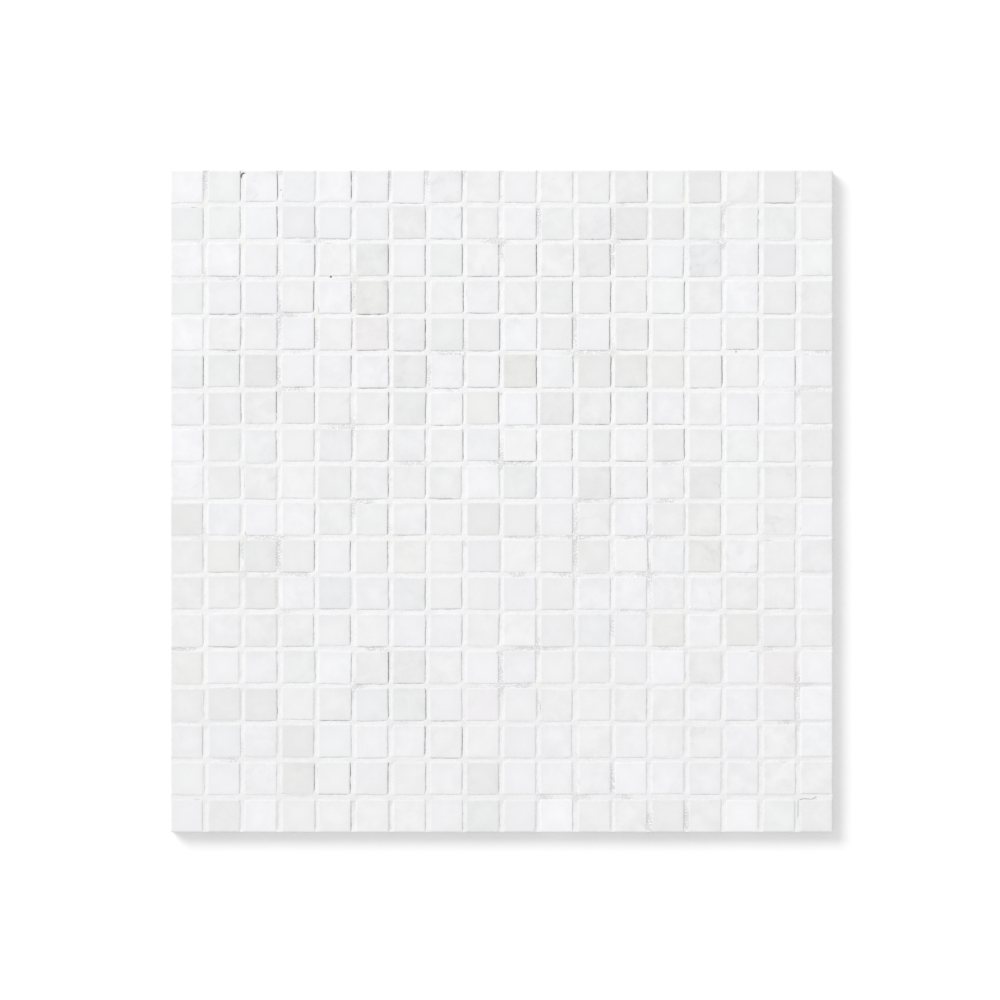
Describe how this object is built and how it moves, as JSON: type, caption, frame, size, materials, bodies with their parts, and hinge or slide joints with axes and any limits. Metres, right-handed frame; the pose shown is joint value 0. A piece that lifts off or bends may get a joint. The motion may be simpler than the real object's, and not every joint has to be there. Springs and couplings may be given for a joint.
{
  "type": "mosaic tile sheet",
  "caption": "Square sheet of small square white marble mosaic tiles with white grouted joints on a laid glass-fibre mesh, for facing walls and floors.",
  "frame": {"origin": "middle of the sheet's back, where the mesh meets the surface that it lies on or is bonded to", "axes": "+Z out of the tiles' faces, +X along a row of tiles, +Y along a column, with row 1 nearest +Y"},
  "size_m": [0.304, 0.304, 0.01],
  "materials": {
    "marble": "honed, with a faint sheen",
    "grout": "matt, fine-grained",
    "glass_fibre": "coated glass-fibre yarn, satin"
  },
  "bodies": {
    "root": {"tile_row_01": "marble", "tile_row_02": "marble", "tile_row_03": "marble", "tile_row_04": "marble", "tile_row_05": "marble", "tile_row_06": "marble", "tile_row_07": "marble", "tile_row_08": "marble", "tile_row_09": "marble", "tile_row_10": "marble", "tile_row_11": "marble", "tile_row_12": "marble", "tile_row_13": "marble", "tile_row_14": "marble", "tile_row_15": "marble", "tile_row_16": "marble", "tile_row_17": "marble", "tile_row_18": "marble", "grout": "grout", "mesh_warp_yarns": "glass_fibre", "mesh_weft_yarns": "glass_fibre"}
  },
  "joints": []
}
